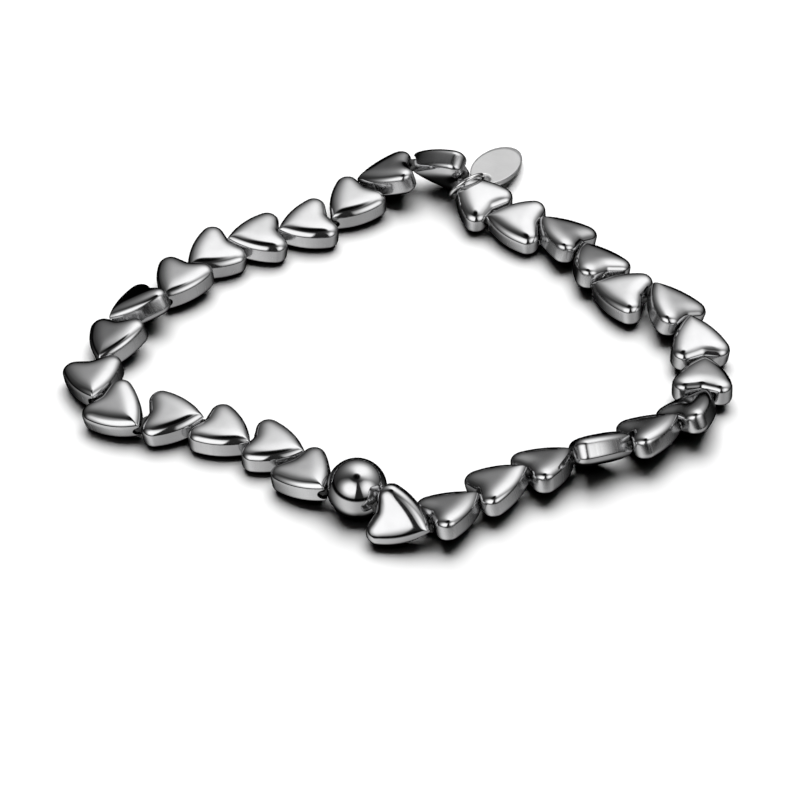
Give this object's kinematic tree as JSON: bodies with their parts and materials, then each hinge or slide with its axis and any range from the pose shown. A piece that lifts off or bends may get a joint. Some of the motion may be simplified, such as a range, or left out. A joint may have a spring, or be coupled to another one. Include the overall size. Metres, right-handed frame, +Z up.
{
  "type": "stretch bracelet of heart beads",
  "caption": "Closed stretch bracelet of polished dark metallic heart beads with one round bead and a small oval tag on a jump ring, lying loosely on a surface.",
  "frame": {"origin": "on the surface that the bracelet lies on, under the middle of its box", "axes": "+Z up from the surface, +X to the right and +Y away from the viewer as pictured, with the round bead at the front and the tag at the back"},
  "size_m": [0.0672, 0.0601, 0.0061],
  "materials": {
    "polished_hematite": "polished to a dark grey metallic mirror, the side walls a little duller",
    "elastic": "smooth dark elastic cord",
    "ring_metal": "bright round wire",
    "tag_metal": "pale satin plating with a soft edge, bare face"
  },
  "bodies": {
    "root": {"heart_01": "polished_hematite", "heart_02": "polished_hematite", "heart_03": "polished_hematite", "heart_04": "polished_hematite", "heart_05": "polished_hematite", "heart_06": "polished_hematite", "heart_07": "polished_hematite", "heart_08": "polished_hematite", "heart_09": "polished_hematite", "heart_10": "polished_hematite", "heart_11": "polished_hematite", "heart_12": "polished_hematite", "heart_13": "polished_hematite", "heart_14": "polished_hematite", "heart_15": "polished_hematite", "heart_16": "polished_hematite", "heart_17": "polished_hematite", "heart_18": "polished_hematite", "heart_19": "polished_hematite", "heart_20": "polished_hematite", "heart_21": "polished_hematite", "heart_22": "polished_hematite", "heart_23": "polished_hematite", "heart_24": "polished_hematite", "heart_25": "polished_hematite", "heart_26": "polished_hematite", "heart_27": "polished_hematite", "heart_28": "polished_hematite", "heart_29": "polished_hematite", "heart_30": "polished_hematite", "ball_bead": "polished_hematite", "elastic_cord": "elastic", "jump_ring": "ring_metal", "tag": "tag_metal"}
  },
  "joints": []
}
